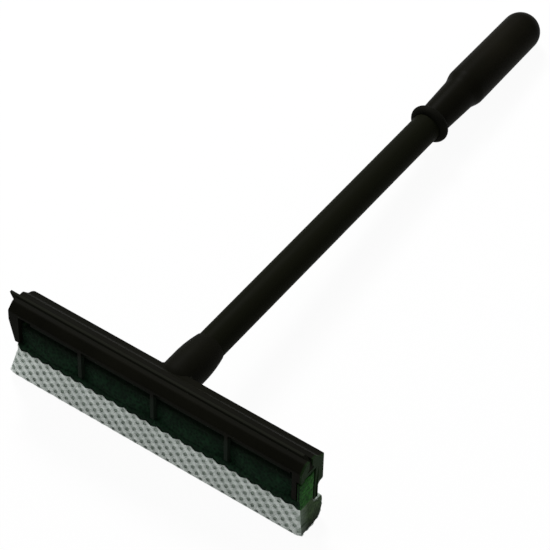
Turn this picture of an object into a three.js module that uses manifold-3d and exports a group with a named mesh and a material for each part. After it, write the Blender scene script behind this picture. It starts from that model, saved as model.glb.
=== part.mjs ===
// Windscreen squeegee: a moulded T-head with a rubber blade on top and a netted sponge pad below it,
// on a tubular shaft with a hand stop and a moulded grip.
// Millimetres, +Z up. The head runs along X and the handle along +Y. The tool lies as it lies on a floor,
// on the underside of its pad and the end of its grip, with the origin in the middle of the pad's flat.
import * as THREE from 'three';
import { mergeVertices } from 'three/addons/utils/BufferGeometryUtils.js';
import Module from 'manifold-3d';

const wasm = await Module();
wasm.setup();

// Driving dimensions of the head. Heights and depths are measured from its back top edge.
const headLength = 204.3;
const headDepth = 23.4;
const railDepth = 6.7;
const railHeight = 18.7;
const railSkin = 2.2;
const railCornerRadius = 3;
const notchRadius = 2.5;
const edgeRadius = 0.9;
const backWall = 2.5;
const frontWall = 3;
const frontSkirt = 21;
const backSkirt = 32;
const roofDrop = 3;
const backLandWidth = 5;
const backLandRise = 1.8;
const backLipWidth = 3.4;
const backLipHeight = 7;
const frontLipHeight = 7.8;
const frontLipNose = 3.6;
const noseWidth = 4.2;

// Windows in the front wall: notches from below, up to the front lip, with ribs between them.
const windowCount = 4;
const ribWidth = 2.4;
const endRibWidth = 3;
const windowDrop = 0.2;

// How far the lower ends of the head and of the pad draw in to a waist, on the left and on the right.
// The pad's underside spreads out again, past the head's ends.
const taperStart = 4;
const taperLeft = 4;
const taperRight = 0.8;
const padTaperLeft = 6.5;
const padTaperRight = 0.5;
const padWaistDrop = 25.2;
const padSpread = 1.5;

// Rubber blade and the undercut slot that it slides in.
const bladeSlant = 5;
const bladeInset = 9;
const bladeThickness = 2.3;
const bladeTip = 1.5;
const bladeReach = 8.6;
const bladeBevel = 1.2;
const bladeFootWidth = 4.7;
const bladeFootHeight = 1.3;
const slotFloorDrop = 0.8;

// Sponge pad and the net drawn over it. The net's front edge lies a little below the ribs.
const padFrontTop = 24.8;
const padFrontBottom = 25;
const padBottomDrop = 50.5;
const padBack = 1.6;
const shoulderRadius = 1.6;
const padFrontRadius = 3.5;
const padHeelRadius = 12;
const padBackTopRadius = 4;
const netThickness = 1;
const netDrop = 3.6;
const meshWidth = 9.4;
const meshRow = 3.9;
const meshHoleWidth = 5;
const meshHoleHeight = 2.5;
const meshHem = 3;
const flatDepth = 0.5;

// Strip along the roof of the pad's channel, which the neck of the pad is bonded to.
const stripThickness = 1.7;
const stripInset = 9;

// Handle: distances are measured back from the head's back face, along the shaft's axis.
const axisDrop = 9;
const shaftDiameter = 18.6;
const shaftWall = 2;
const shaftEnd = 257.6;
const socketDiameter = 24;
const socketMouthWall = 0.4;
const socketTaper = 12.6;
const socketLength = 30.9;
const socketFloor = 1.5;
const socketNose = 4;
const ringDiameter = 26;
const ringWidth = 6.2;
const spigotLength = 38;
const spigotWall = 2.4;
const neckStartWall = 0.45;
const neckEndDiameter = 21.8;
const neckEnd = 289.1;
const shoulderEnd = 299.1;
const gripDiameter = 25.8;
const gripEndDiameter = 25.1;
const gripLength = 373.6;
const gripCoreEnd = 20;

// Screw that pins the shaft in the socket, from below.
const screwPlace = 16.1;
const screwDiameter = 3;
const screwLength = 6.5;
const screwHeadDiameter = 6.4;
const screwHeadHeight = 2;
const screwSeatDepth = 0.8;
const driveWidth = 0.9;
const driveLength = 3.6;
const driveDepth = 1;

// Clearances: fitGap between pieces that are bonded, pinched or seated, holeGap round the screw.
const fitGap = 0.3;
const holeGap = 0.3;

// Fineness of round shapes.
const turnSegments = 32;
const smallSegments = 12;
const arcSteps = 4;
const flareSteps = 5;
const padSteps = 2;
const heelSteps = 3;
const cutMargin = 5;
const arcShare = 0.48;
const netStep = 0.05;

// Places worked out from the driving dimensions.
const bladeOffset = headDepth - bladeInset;
const wallFront = -(headDepth - frontWall);
const wallBack = -(railDepth + backWall);
const slotHalf = bladeThickness / 2 + fitGap;
const footHalf = bladeFootWidth / 2 + fitGap;
const footTop = bladeFootHeight - slotFloorDrop + 2 * fitGap;
const shaftRadius = shaftDiameter / 2;
const boreRadius = shaftRadius + fitGap;
const headHalf = headLength / 2;
const waistLeft = headHalf - taperLeft;
const waistRight = headHalf - taperRight;
const padHalf = headHalf + padSpread;
const neckFront = wallFront + fitGap;
const neckBack = wallBack - fitGap;

const X = new THREE.Vector3(1, 0, 0);
const Y = new THREE.Vector3(0, 1, 0);
const Z = new THREE.Vector3(0, 0, 1);

// A point of a section: y runs to the back, z up, and radius rounds the corner there.
function corner(y, z, radius = 0, steps = arcSteps) {
  return { at: new THREE.Vector2(y, z), radius, steps };
}

// Replaces each corner that has a radius by an arc between its two straight sides.
function rounded(corners, closed) {
  const points = [];
  const count = corners.length;
  corners.forEach(({ at, radius, steps }, index) => {
    const isEnd = !closed && (index === 0 || index === count - 1);
    if (radius === 0 || isEnd) {
      points.push(at.clone());
      return;
    }
    const before = corners[(index + count - 1) % count].at.clone().sub(at);
    const after = corners[(index + 1) % count].at.clone().sub(at);
    const half = Math.acos(before.clone().normalize().dot(after.clone().normalize())) / 2;
    const room = Math.min(before.length(), after.length()) * arcShare;
    const reach = Math.min(radius / Math.tan(half), room);
    const from = at.clone().addScaledVector(before.normalize(), reach);
    const to = at.clone().addScaledVector(after.normalize(), reach);
    const inward = before.clone().add(after).normalize();
    const middle = at.clone().addScaledVector(inward, reach / Math.cos(half));
    const start = Math.atan2(from.y - middle.y, from.x - middle.x);
    let sweep = Math.atan2(to.y - middle.y, to.x - middle.x) - start;
    sweep = Math.atan2(Math.sin(sweep), Math.cos(sweep));
    const arcRadius = from.distanceTo(middle);
    for (let step = 0; step <= steps; step += 1) {
      const angle = start + (sweep * step) / steps;
      points.push(new THREE.Vector2(
        middle.x + arcRadius * Math.cos(angle),
        middle.y + arcRadius * Math.sin(angle),
      ));
    }
  });
  return points;
}

// Moves an open path sideways, to its left, by the same distance everywhere.
function offset(path, distance) {
  return path.map((point, index) => {
    const back = index > 0 ? point.clone().sub(path[index - 1]).normalize() : null;
    const ahead = index < path.length - 1 ? path[index + 1].clone().sub(point).normalize() : null;
    const first = back ?? ahead;
    const second = ahead ?? back;
    const normal = new THREE.Vector2(-first.y - second.y, first.x + second.x).normalize();
    const stretch = normal.dot(new THREE.Vector2(-first.y, first.x));
    return point.clone().addScaledVector(normal, distance / stretch);
  });
}

// A flat outline drawn out straight, with plain ends.
function drawnOut(points, length) {
  return new THREE.ExtrudeGeometry(new THREE.Shape(points), { depth: length, bevelEnabled: false });
}

// A section in y and z, drawn out along X about the middle plane.
function alongX(points, length) {
  const geometry = drawnOut(points, length).translate(0, 0, -length / 2);
  return geometry.applyMatrix4(new THREE.Matrix4().makeBasis(Y, Z, X));
}

// An outline in x and z, drawn out along Y between two places.
function alongY(points, from, to) {
  const turn = new THREE.Matrix4().makeBasis(X, Z, Y.clone().negate());
  return drawnOut(points, to - from).applyMatrix4(turn).translate(0, to, 0);
}

// An outline in x and y, drawn out along Z between two places.
function alongZ(points, from, to) {
  return drawnOut(points, to - from).translate(0, 0, from);
}

// A box between two corners.
function block(low, high) {
  const size = high.map((value, axis) => value - low[axis]);
  const middle = high.map((value, axis) => (value + low[axis]) / 2);
  return new THREE.BoxGeometry(...size).translate(...middle);
}

// A turned shape round the shaft's axis, from points of radius and distance along it.
function turned(points) {
  const profile = points.map(([radius, along]) => new THREE.Vector2(radius, along));
  return new THREE.LatheGeometry(profile, turnSegments).translate(0, 0, -axisDrop);
}

// A geometry with its shared points joined and its empty triangles left out.
function welded(geometry) {
  const bare = geometry.clone();
  bare.deleteAttribute('normal');
  bare.deleteAttribute('uv');
  const joined = mergeVertices(bare, 1e-4);
  const index = Array.from(joined.index.array);
  const kept = [];
  for (let place = 0; place < index.length; place += 3) {
    const [a, b, c] = index.slice(place, place + 3);
    if (a !== b && b !== c && c !== a) kept.push(a, b, c);
  }
  joined.setIndex(kept);
  return joined;
}

// A closed geometry as a solid that can be joined and cut.
function solid(geometry) {
  const mesh = welded(geometry);
  return new wasm.Manifold(new wasm.Mesh({
    numProp: 3,
    vertProperties: new Float32Array(mesh.attributes.position.array),
    triVerts: new Uint32Array(mesh.index.array),
  }));
}

// A solid back as a geometry.
function geometryOf(body) {
  const mesh = body.getMesh();
  const geometry = new THREE.BufferGeometry();
  geometry.setAttribute('position', new THREE.BufferAttribute(new Float32Array(mesh.vertProperties), 3));
  geometry.setIndex(new THREE.BufferAttribute(new Uint32Array(mesh.triVerts), 1));
  return geometry;
}

function cutAll(body, tools) {
  return tools.reduce((rest, tool) => rest.subtract(solid(tool)), body);
}

function piece(name, geometry, colour, roughness, metalness = 0) {
  const flat = welded(geometry).toNonIndexed();
  flat.computeVertexNormals();
  const material = new THREE.MeshStandardMaterial({ color: colour, roughness, metalness });
  const mesh = new THREE.Mesh(flat, material);
  mesh.name = name;
  return mesh;
}

const blackPlastic = 0x1c1c18;
const blackRubber = 0x111110;
const greenFoam = 0x1f4a22;
const paleNet = 0xc4cfc7;
const paleSteel = 0x9a9a96;

// Section of the net's outer face, from its open edge below the ribs, down the front, under the pad
// and up its back, to the edge that lies under the back wall.
const netOuter = rounded([
  corner(-padFrontTop, -frontSkirt - netDrop),
  corner(-padFrontBottom, -padBottomDrop, padFrontRadius, padSteps),
  corner(-padBack, -padBottomDrop, padHeelRadius, heelSteps),
  corner(-padBack, -backSkirt - fitGap, padBackTopRadius, padSteps),
  corner(wallBack, -backSkirt - fitGap),
], false);

// How the tool lies: the floor touches the pad's rounded heel, pressed flat, and the grip's round end.
const heelCentre = new THREE.Vector2(-padBack - padHeelRadius, padHeelRadius - padBottomDrop);
const heelReach = padHeelRadius - flatDepth;
const gripEndRadius = gripEndDiameter / 2;
const gripCentre = new THREE.Vector2(gripLength - gripEndRadius, -axisDrop);
const span = gripCentre.clone().sub(heelCentre);
const tilt = Math.atan2(span.y, span.x) + Math.asin((heelReach - gripEndRadius) / span.length());
const floorPoint = heelCentre.clone().add(
  new THREE.Vector2(Math.sin(tilt), -Math.cos(tilt)).multiplyScalar(heelReach),
);

// Outline, in x and z, of what the slanted ends take off one end of the head or the pad.
function endOff(side, waist, waistDrop, bottomHalf) {
  const far = padHalf + cutMargin;
  const low = padBottomDrop + cutMargin;
  return [
    new THREE.Vector2(side * headHalf, -taperStart),
    new THREE.Vector2(side * waist, -waistDrop),
    new THREE.Vector2(side * bottomHalf, -padBottomDrop),
    new THREE.Vector2(side * bottomHalf, -low),
    new THREE.Vector2(side * far, -low),
    new THREE.Vector2(side * far, -taperStart),
  ];
}

function headFrame() {
  const section = rounded([
    corner(0, 0, edgeRadius),
    corner(0, -railHeight, edgeRadius),
    corner(-railDepth, -railHeight, notchRadius),
    corner(-railDepth, -backSkirt),
    corner(wallBack, -backSkirt),
    corner(wallBack, -roofDrop),
    corner(wallFront, -roofDrop),
    corner(wallFront, -frontSkirt),
    corner(-headDepth, -frontSkirt, edgeRadius),
    corner(-headDepth, frontLipNose, edgeRadius),
    corner(-headDepth + noseWidth, frontLipHeight, edgeRadius),
    corner(-bladeOffset - slotHalf, frontLipHeight),
    corner(-bladeOffset - slotHalf, footTop),
    corner(-bladeOffset - footHalf, footTop),
    corner(-bladeOffset - footHalf, -slotFloorDrop),
    corner(-bladeOffset + footHalf, -slotFloorDrop),
    corner(-bladeOffset + footHalf, footTop),
    corner(-bladeOffset + slotHalf, footTop),
    corner(-bladeOffset + slotHalf, backLipHeight, edgeRadius / 2),
    corner(-bladeOffset + slotHalf + backLipWidth, backLipHeight, edgeRadius),
    corner(-backLandWidth, backLandRise, edgeRadius),
  ], true);
  const plan = rounded([
    corner(-headHalf, -headDepth - cutMargin),
    corner(headHalf, -headDepth - cutMargin),
    corner(headHalf, 0, railCornerRadius),
    corner(-headHalf, 0, railCornerRadius),
  ], true);
  const bar = solid(alongX(section, headLength))
    .intersect(solid(alongZ(plan, -backSkirt - cutMargin, backLipHeight + cutMargin)));
  const socketRadius = socketDiameter / 2;
  const mouthRadius = boreRadius + socketMouthWall;
  const taperLength = socketLength - socketTaper;
  const outside = [[0, -railDepth]];
  for (let step = 0; step < arcSteps; step += 1) {
    const angle = (Math.PI / 2) * (step / arcSteps);
    outside.push([socketRadius - socketNose * (1 - Math.sin(angle)), -railDepth * Math.cos(angle)]);
  }
  outside.push([socketRadius, 0]);
  for (let step = 0; step <= flareSteps; step += 1) {
    const along = step / flareSteps;
    outside.push([
      socketRadius - (socketRadius - mouthRadius) * along * along,
      socketTaper + taperLength * along,
    ]);
  }
  outside.push([0, socketLength]);
  const socket = turned(outside);
  const bore = turned([
    [0, socketFloor],
    [boreRadius, socketFloor],
    [boreRadius, socketLength + cutMargin],
    [0, socketLength + cutMargin],
  ]);
  const cuts = [bore];
  for (const [side, waist] of [[-1, waistLeft], [1, waistRight]]) {
    cuts.push(alongY(endOff(side, waist, frontSkirt, waist), -headDepth - cutMargin, -railDepth));
  }
  const bay = headLength / windowCount;
  const coreTop = -roofDrop;
  for (let place = 0; place < windowCount; place += 1) {
    const left = Math.max(place * bay - headHalf + ribWidth / 2, endRibWidth - waistLeft);
    const right = Math.min((place + 1) * bay - headHalf - ribWidth / 2, waistRight - endRibWidth);
    cuts.push(block(
      [left, -headDepth - cutMargin, -frontSkirt - cutMargin],
      [right, wallFront + fitGap, -windowDrop],
    ));
    const socketSide = socketDiameter / 2 + railSkin;
    const coreLeft = left > -socketSide && left < socketSide ? socketSide : left;
    const coreRight = right > -socketSide && right < socketSide ? -socketSide : right;
    cuts.push(block(
      [coreLeft, -railDepth, -railHeight - cutMargin],
      [coreRight, -railSkin, coreTop],
    ));
  }
  const seat = -axisDrop - socketRadius + screwSeatDepth;
  const screwAcross = screwHeadDiameter / 2 + holeGap;
  const hole = new THREE.CylinderGeometry(
    screwDiameter / 2 + holeGap, screwDiameter / 2 + holeGap, socketRadius, smallSegments,
  );
  hole.rotateX(Math.PI / 2).translate(0, screwPlace, -axisDrop - socketRadius / 2 - shaftRadius / 2);
  const spotFace = new THREE.CylinderGeometry(screwAcross, screwAcross, screwSeatDepth * 2, smallSegments);
  spotFace.rotateX(Math.PI / 2).translate(0, screwPlace, seat - screwSeatDepth);
  cuts.push(hole, spotFace);
  return geometryOf(cutAll(bar.add(solid(socket)), cuts));
}

// The blade is cut off on the slant, so its wiping edge stands out past one end of the head.
function blade() {
  const half = bladeThickness / 2;
  const footBottom = fitGap - slotFloorDrop;
  const section = [
    corner(-bladeOffset - bladeFootWidth / 2, footBottom),
    corner(-bladeOffset + bladeFootWidth / 2, footBottom),
    corner(-bladeOffset + bladeFootWidth / 2, footBottom + bladeFootHeight),
    corner(-bladeOffset + half, footBottom + bladeFootHeight),
    corner(-bladeOffset + half, bladeReach - bladeBevel),
    corner(-bladeOffset + bladeTip / 2, bladeReach),
    corner(-bladeOffset - bladeTip / 2, bladeReach),
    corner(-bladeOffset - half, bladeReach - bladeBevel),
    corner(-bladeOffset - half, footBottom + bladeFootHeight),
    corner(-bladeOffset - bladeFootWidth / 2, footBottom + bladeFootHeight),
  ];
  const slant = new THREE.Matrix4().makeShear(0, 0, 0, 0, -bladeSlant / (bladeReach - footBottom), 0);
  const strip = alongX(rounded(section, true), headLength).translate(0, 0, -footBottom);
  return strip.applyMatrix4(slant).translate(0, 0, footBottom);
}

function sponge() {
  const inside = offset(netOuter, netThickness + fitGap);
  const edge = inside[0];
  const hem = inside[inside.length - 1];
  const neckTop = -roofDrop - stripThickness - 2 * fitGap;
  const neck = rounded([
    corner(neckBack, hem.y),
    corner(neckBack, neckTop),
    corner(neckFront, neckTop),
    corner(neckFront, -frontSkirt - fitGap),
    corner(edge.x, -frontSkirt - fitGap, shoulderRadius, padSteps),
    corner(edge.x, edge.y),
  ], false);
  const body = solid(alongX([...inside, ...neck.slice(0, -1)], 2 * padHalf));
  return geometryOf(cutAll(body, padEnds()));
}

function padEnds() {
  return [[-1, padTaperLeft], [1, padTaperRight]].map(([side, taper]) => (
    alongY(endOff(side, headHalf - taper, padWaistDrop, padHalf), -padFrontBottom - cutMargin, cutMargin)
  ));
}

// The floor, as a block under the part, in the tool's own frame.
function floorBlock() {
  const depth = padHeelRadius;
  const floor = new THREE.BoxGeometry(3 * padHalf, 2 * padFrontBottom, depth);
  floor.translate(0, 0, -depth / 2).rotateX(tilt);
  return floor.translate(0, floorPoint.x, floorPoint.y);
}

// Places along the net's outer face, with the way straight out of it, at a distance from its start.
function alongNet(distance) {
  let left = distance;
  for (let index = 1; index < netOuter.length; index += 1) {
    const from = netOuter[index - 1];
    const step = netOuter[index].clone().sub(from);
    if (left <= step.length() || index === netOuter.length - 1) {
      const way = step.clone().normalize();
      return { at: from.clone().addScaledVector(way, left), way };
    }
    left -= step.length();
  }
  return null;
}

function netLength() {
  return netOuter.slice(1).reduce((sum, point, index) => sum + point.distanceTo(netOuter[index]), 0);
}

// Distance along the net to the middle of the pressed flat, so that its mesh leaves cords there.
function floorPlace() {
  let nearest = 0;
  let least = Infinity;
  for (let place = 0; place < netLength(); place += netStep) {
    const gap = alongNet(place).at.distanceTo(floorPoint);
    if (gap < least) {
      least = gap;
      nearest = place;
    }
  }
  return nearest;
}

// A net of four-sided gaps in staggered rows, knitted as one wide sheet and wrapped round the pad.
function net() {
  const inside = offset(netOuter, netThickness);
  let body = solid(alongX([...netOuter, ...inside.reverse()], 2 * padHalf));
  body = cutAll(body, padEnds());
  const middle = floorPlace();
  const first = meshHem;
  const last = netLength() - meshHem;
  const rowsBefore = Math.floor((middle - first) / meshRow);
  const rowsAfter = Math.floor((last - middle) / meshRow);
  for (let row = -rowsBefore; row < rowsAfter; row += 1) {
    const { at, way } = alongNet(middle + (row + 0.5) * meshRow);
    const shift = row % 2 === 0 ? 0 : meshWidth / 2;
    const count = Math.floor((headHalf - padTaperLeft - meshHem - shift) / meshWidth);
    const firstPlace = shift === 0 ? -count : -count - 1;
    for (let place = firstPlace; place <= count; place += 1) {
      const gap = new THREE.CylinderGeometry(1, 1, 4 * netThickness, 4);
      gap.scale(meshHoleWidth / 2, 1, meshHoleHeight / 2);
      gap.rotateX(Math.atan2(way.y, way.x) + Math.PI / 2);
      gap.translate(place * meshWidth + shift, at.x, at.y);
      body = body.subtract(solid(gap));
    }
  }
  return geometryOf(body.subtract(solid(floorBlock())));
}

function backingStrip() {
  const top = -roofDrop - fitGap;
  return block(
    [stripInset - waistLeft, neckFront, top - stripThickness],
    [waistRight - stripInset, neckBack, top],
  );
}

function shaftTube() {
  const inner = shaftRadius - shaftWall;
  const start = socketFloor + fitGap;
  const tube = turned([
    [inner, start],
    [shaftRadius, start],
    [shaftRadius, shaftEnd],
    [inner, shaftEnd],
    [inner, start],
  ]);
  const hole = new THREE.CylinderGeometry(
    screwDiameter / 2 + holeGap, screwDiameter / 2 + holeGap, shaftRadius, smallSegments,
  );
  hole.rotateX(Math.PI / 2).translate(0, screwPlace, -axisDrop - shaftRadius);
  return geometryOf(cutAll(solid(tube), [hole]));
}

function handStopRing() {
  const outer = ringDiameter / 2;
  const round = ringWidth / 2;
  const profile = [[boreRadius, shaftEnd - round], [outer - round, shaftEnd - round]];
  for (let step = 1; step < 2 * arcSteps; step += 1) {
    const angle = (Math.PI * step) / (2 * arcSteps);
    profile.push([outer - round + round * Math.sin(angle), shaftEnd - round * Math.cos(angle)]);
  }
  profile.push([outer - round, shaftEnd + round], [boreRadius, shaftEnd + round]);
  profile.push([boreRadius, shaftEnd - round]);
  return turned(profile);
}

function grip() {
  const spigot = shaftRadius - shaftWall - fitGap;
  const core = spigot - spigotWall;
  const start = shaftEnd - spigotLength;
  const collarFront = shaftEnd + fitGap;
  const ringBack = shaftEnd + ringWidth / 2 + fitGap;
  const coreEnd = gripLength - gripCoreEnd;
  const profile = [
    [0, coreEnd],
    [core, coreEnd - core],
    [core, start],
    [spigot, start],
    [spigot, collarFront],
    [shaftRadius, collarFront],
    [shaftRadius, ringBack],
    [shaftRadius + neckStartWall, ringBack],
    [neckEndDiameter / 2, neckEnd],
  ];
  const rise = gripDiameter / 2 - neckEndDiameter / 2;
  for (let step = 1; step <= arcSteps; step += 1) {
    const share = step / arcSteps;
    const swell = (1 - Math.cos(Math.PI * share)) / 2;
    profile.push([neckEndDiameter / 2 + rise * swell, neckEnd + (shoulderEnd - neckEnd) * share]);
  }
  const endSteps = 2 * arcSteps;
  for (let step = 0; step < endSteps; step += 1) {
    const angle = (Math.PI / 2) * (step / endSteps);
    profile.push([gripEndRadius * Math.cos(angle), gripCentre.x + gripEndRadius * Math.sin(angle)]);
  }
  profile.push([0, gripLength]);
  return turned(profile);
}

function socketScrew() {
  const seat = -axisDrop - socketDiameter / 2 + screwSeatDepth;
  const headTop = seat - fitGap;
  const profile = [
    [0, 0],
    [screwHeadDiameter / 2 - screwHeadHeight / 2, 0],
    [screwHeadDiameter / 2, screwHeadHeight / 2],
    [screwHeadDiameter / 2, screwHeadHeight],
    [screwDiameter / 2, screwHeadHeight],
    [screwDiameter / 2, screwHeadHeight + screwLength - screwDiameter / 2],
    [0, screwHeadHeight + screwLength],
  ].map(([radius, along]) => new THREE.Vector2(radius, along));
  const screw = new THREE.LatheGeometry(profile, smallSegments);
  const drives = [0, Math.PI / 2].map((turn) => (
    new THREE.BoxGeometry(driveLength, 2 * driveDepth, driveWidth).rotateY(turn)
  ));
  const body = geometryOf(cutAll(solid(screw), drives));
  return body.rotateX(Math.PI / 2).translate(0, screwPlace, headTop - screwHeadHeight);
}

// The tool in its own frame, laid down on the floor by one turn about X.
const tool = new THREE.Group();
tool.add(
  piece('head_frame', headFrame(), blackPlastic, 0.55),
  piece('wiper_blade', blade(), blackRubber, 0.7),
  piece('sponge', sponge(), greenFoam, 0.95),
  piece('sponge_net', net(), paleNet, 0.8),
  piece('backing_strip', backingStrip(), blackPlastic, 0.6),
  piece('shaft_tube', shaftTube(), blackPlastic, 0.45),
  piece('hand_stop_ring', handStopRing(), blackRubber, 0.6),
  piece('grip', grip(), blackPlastic, 0.5),
  piece('socket_screw', socketScrew(), paleSteel, 0.35, 1),
);
tool.rotation.x = -tilt;
tool.position.copy(new THREE.Vector3(0, floorPoint.x, floorPoint.y).applyAxisAngle(X, -tilt).negate());

const squeegee = new THREE.Group();
squeegee.name = 'squeegee';
squeegee.add(tool);

export default squeegee;
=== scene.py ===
# %% [markdown]
# # A washing squeegee
# The tool is a long black head with a rubber blade along its top, a green foam pad in a white knitted
# net below it, and a round handle at the back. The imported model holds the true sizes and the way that
# the blade slides out, so it is loaded first and used as a fixed frame. Each piece below is drawn
# again with softer edges and finer detail, in the same place.

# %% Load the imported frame
import math

import bmesh
import bpy
from mathutils import Color, Matrix, Vector, geometry, noise


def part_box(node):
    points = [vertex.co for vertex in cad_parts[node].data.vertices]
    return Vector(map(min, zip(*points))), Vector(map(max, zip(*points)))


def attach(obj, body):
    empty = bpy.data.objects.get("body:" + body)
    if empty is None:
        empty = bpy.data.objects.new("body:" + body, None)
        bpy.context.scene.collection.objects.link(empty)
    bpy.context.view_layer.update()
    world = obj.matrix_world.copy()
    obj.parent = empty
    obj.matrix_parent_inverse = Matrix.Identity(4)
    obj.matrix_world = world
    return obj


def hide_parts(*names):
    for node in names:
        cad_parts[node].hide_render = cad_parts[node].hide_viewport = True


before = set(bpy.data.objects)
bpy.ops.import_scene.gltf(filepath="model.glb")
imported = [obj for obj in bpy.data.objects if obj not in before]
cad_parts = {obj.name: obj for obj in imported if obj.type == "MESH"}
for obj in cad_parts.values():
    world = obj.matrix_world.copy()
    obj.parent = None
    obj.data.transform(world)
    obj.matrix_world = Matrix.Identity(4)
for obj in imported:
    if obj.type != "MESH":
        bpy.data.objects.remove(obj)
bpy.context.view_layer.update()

# %% [markdown]
# ## The tool's own frame
# A maker draws the tool square: x along the head, y back along the handle from the head's back face,
# z up from the back top edge, in millimetres. In use it lies tilted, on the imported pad's heel, which is
# pressed a little flat, and on the grip's end. Both are round, so the floor is the line that touches
# two circles, and its slope follows from their places and radii. Slope and place are rounded, far
# below what shows, so that they come out the same everywhere. It is easier to draw everything square
# and turn it once at the end, so one matrix does the scaling to metres, the tilt and the move.

# %% One matrix lays a finished shape down
METRES = 0.001
AXIS_DROP = 9
GRIP_LENGTH = 373.6
GRIP_END = 12.55
PAD_LOW = -50.5
HEEL_BACK = -1.6
HEEL_ROUND = 12
HEEL_PRESSED = 0.5
DEGREE_DIGITS = 6
PLACE_DIGITS = 5
heel_y = HEEL_BACK - HEEL_ROUND
heel_z = PAD_LOW + HEEL_ROUND
heel_reach = HEEL_ROUND - HEEL_PRESSED
span_y = GRIP_LENGTH - GRIP_END - heel_y
span_z = -AXIS_DROP - heel_z
slope = math.atan2(span_z, span_y) + math.asin((heel_reach - GRIP_END) / math.hypot(span_y, span_z))
tilt = math.radians(round(math.degrees(slope), DEGREE_DIGITS))
floor_y = round(heel_y + math.sin(slope) * heel_reach, PLACE_DIGITS)
floor_z = round(heel_z - math.cos(slope) * heel_reach, PLACE_DIGITS)
tip_over = Matrix.Rotation(-tilt, 4, "X")
lay_down = Matrix.Scale(METRES, 4) @ tip_over @ Matrix.Translation((0, -floor_y, -floor_z))
print("the tool lies tilted by", round(math.degrees(tilt), 2), "degrees")

# %% [markdown]
# ## Helpers for moulded, turned and cut shapes
# Nearly every rigid piece is a section drawn out straight or a profile turned round the shaft's axis.
# A section starts as one face: its corners are rounded with a vertex bevel while it is still flat,
# which is much easier than rounding the edges of the finished bar. Cuts are Boolean modifiers,
# because windows and bores are cuts in the real mould too, and each is baked at once.

# %% A section drawn out along one axis
AXES = {"X": 0, "Y": 1, "Z": 2}
ROUND_STEPS = 5


def round_corners(bm, verts, corners, segments):
    """Rounds each corner that has a radius as its third number."""
    radii = [corner[2] if len(corner) > 2 else 0 for corner in corners]
    for radius in sorted(set(radii) - {0}):
        chosen = [vert for vert, own in zip(verts, radii) if own == radius]
        bmesh.ops.bevel(bm, geom=chosen, offset=radius, offset_type="OFFSET", affect="VERTICES",
                        segments=segments, profile=0.5, material=-1, clamp_overlap=True)


def prism(corners, axis, low, high, segments=ROUND_STEPS):
    """Corners are pairs in the other two axes, with a radius as an optional third number."""
    bm = bmesh.new()
    across = AXES[axis]
    ring = []
    for corner in corners:
        place = list(corner[:2])
        place.insert(across, low)
        ring.append(bm.verts.new(place))
    bm.faces.new(ring)
    round_corners(bm, ring, corners, segments)
    drawn = bmesh.ops.extrude_face_region(bm, geom=bm.faces[:])["geom"]
    way = Vector((0, 0, 0))
    way[across] = high - low
    bmesh.ops.translate(bm, verts=[v for v in drawn if isinstance(v, bmesh.types.BMVert)], vec=way)
    bmesh.ops.recalc_face_normals(bm, faces=bm.faces[:])
    return bm


# %% A profile turned round the shaft's axis
TURN_STEPS = 96
SAME_PLACE = 1e-4


def turned(profile, steps=TURN_STEPS):
    """Points are radius, distance along the shaft and, where the corner is rounded, its radius."""
    bm = bmesh.new()
    line = [bm.verts.new((point[0], point[1], 0)) for point in profile]
    for first, second in zip(line, line[1:]):
        bm.edges.new((first, second))
    round_corners(bm, line, profile, ROUND_STEPS)
    bmesh.ops.spin(bm, geom=bm.verts[:] + bm.edges[:], cent=(0, 0, 0), axis=(0, 1, 0),
                   angle=math.tau, steps=steps, use_merge=True)
    bmesh.ops.remove_doubles(bm, verts=bm.verts[:], dist=SAME_PLACE)
    bmesh.ops.recalc_face_normals(bm, faces=bm.faces[:])
    bmesh.ops.translate(bm, verts=bm.verts[:], vec=(0, 0, -AXIS_DROP))
    return bm


def even_steps(whole, steps):
    """Even steps from 0 up to a whole turn, angle or length."""
    return [whole * step / steps for step in range(steps + 1)]


# %% From a bmesh to an object, cuts, and the last steps that every piece shares
HARD_ANGLE = 32
SOFT_ANGLE = 80


def as_object(bm, name):
    """Makes an object of a bmesh, which is used up."""
    mesh = bpy.data.meshes.new(name)
    bm.to_mesh(mesh)
    bm.free()
    made = bpy.data.objects.new(name, mesh)
    bpy.context.collection.objects.link(made)
    return made


def bake(made):
    """Turns the modifiers of an object into its mesh."""
    seen = made.evaluated_get(bpy.context.evaluated_depsgraph_get())
    mesh = bpy.data.meshes.new_from_object(seen)
    old = made.data
    made.modifiers.clear()
    made.data = mesh
    bpy.data.meshes.remove(old)


def combine(base, other, operation):
    """Joins, cuts or intersects an object with a second shape, which is used up."""
    tool = as_object(other, "tool_shape")
    step = base.modifiers.new("combine", "BOOLEAN")
    step.operation = operation
    step.object = tool
    step.solver = "EXACT"
    bake(base)
    bpy.data.objects.remove(tool)


def set_down(made, body, node, finish, sharp=HARD_ANGLE):
    """Lays a shape down, gives it its finish and ties it to the frame."""
    made.data.transform(lay_down)
    made.data.name = made.name
    made.data.polygons.foreach_set("use_smooth", [True] * len(made.data.polygons))
    made.data.set_sharp_from_angle(angle=math.radians(sharp))
    made.data.materials.clear()
    made.data.materials.append(finish)
    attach(made, body)
    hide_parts(node)
    print(made.name, "has", len(made.data.polygons), "faces")


# %% [markdown]
# ## Helpers for finishes
# A finish is a tree of nodes. A node takes several lines to make, set and link, so a few helpers say
# the same in one call: any node, a share that ramps up along a value, a sum, and a mix of colours. The
# Mix node's colour sockets have the same names as its other sockets, so they go by number.

# %% Nodes in one call
MIX_FIRST, MIX_SECOND, MIX_RESULT = 6, 7, 2


def add(tree, kind, links=(), **settings):
    """A node with its settings; links pairs an input's name or number with a socket or a value."""
    node = tree.nodes.new(kind)
    for name, value in settings.items():
        setattr(node, name, value)
    for key, source in links:
        if isinstance(source, bpy.types.NodeSocket):
            tree.links.new(source, node.inputs[key])
        else:
            node.inputs[key].default_value = source
    return node


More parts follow.
